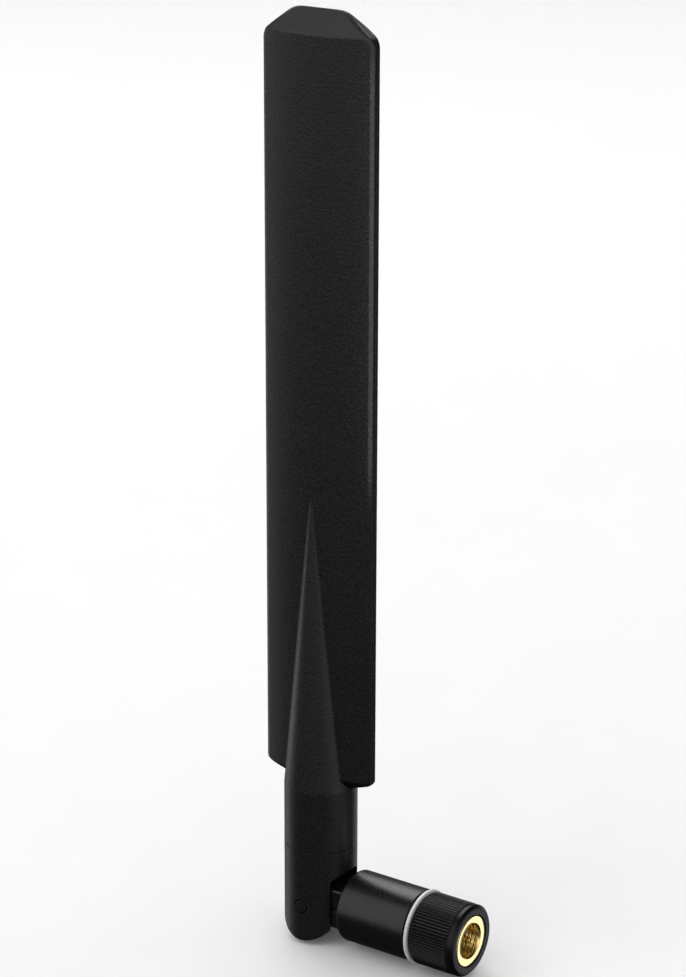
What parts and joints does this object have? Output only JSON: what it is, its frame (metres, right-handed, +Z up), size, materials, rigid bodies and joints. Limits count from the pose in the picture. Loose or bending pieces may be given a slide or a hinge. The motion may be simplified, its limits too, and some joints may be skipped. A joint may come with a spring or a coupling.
{
  "type": "omnidirectional antenna",
  "caption": "Flat blade antenna on a fold-and-turn hinge, with a knurled screw-on coaxial plug.",
  "frame": {"origin": "centre of the coupling nut's mouth, where the plug meets the equipment's jack", "axes": "+X out of the plug's mouth, along the plug and base; +Z up the blade; the blade's front face looks towards -Y"},
  "size_m": [0.043, 0.0134, 0.1651],
  "materials": {
    "case_plastic": "satin, fine spark-eroded grain",
    "sleeve_plastic": "satin, slightly blue black",
    "ring_plastic": "matte, pale grey nylon",
    "pin_plastic": "satin black",
    "gold_plate": "polished gold plating on brass",
    "spring_bronze": "bright phosphor bronze",
    "contact_resin": "waxy white resin",
    "silicone_red": "soft, matte",
    "crimp_nickel": "nickel plated",
    "lead_jacket": "smooth extruded jacket",
    "lead_braid": "tinned copper braid",
    "lead_core": "milky insulation",
    "board_laminate": "green solder mask on glass laminate",
    "copper_foil": "thin coated copper",
    "solder_tin": "bright solder",
    "foam_black": "closed-cell foam"
  },
  "bodies": {
    "plug_nut": {"coupling_nut": "gold_plate", "knurled_sleeve": "sleeve_plastic", "retainer_ring": "spring_bronze"},
    "base": {"base_housing": "case_plastic", "friction_ring": "ring_plastic", "plug_body": "gold_plate", "contact_bead": "contact_resin", "centre_contact": "gold_plate", "sealing_gasket": "silicone_red", "crimp_ferrule": "crimp_nickel", "lead_in_base": "lead_jacket", "lead_in_hinge": "lead_jacket"},
    "blade": {"rear_housing": "case_plastic", "front_cover": "case_plastic", "hinge_pin_front": "pin_plastic", "hinge_pin_back": "pin_plastic", "radiator_board": "board_laminate", "dipole_ground_arm": "copper_foil", "dipole_radiator_arm": "copper_foil", "foam_pad_upper": "foam_black", "foam_pad_lower": "foam_black", "lead_in_blade": "lead_jacket", "lead_braid_end": "lead_braid", "lead_core_end": "lead_core", "lead_wire_end": "copper_foil", "solder_braid": "solder_tin", "solder_wire": "solder_tin"}
  },
  "joints": [
    {"name": "swivel", "type": "hinge", "parent": "plug_nut", "child": "base", "pos_m": [-0.01, 0, 0], "axis": [1, 0, 0], "continuous": true},
    {"name": "tilt", "type": "hinge", "parent": "base", "child": "blade", "pos_m": [-0.03185, 0, 0], "axis": [0, -1, 0], "range_deg": [0, 90], "deforming": ["lead_in_hinge"]}
  ]
}
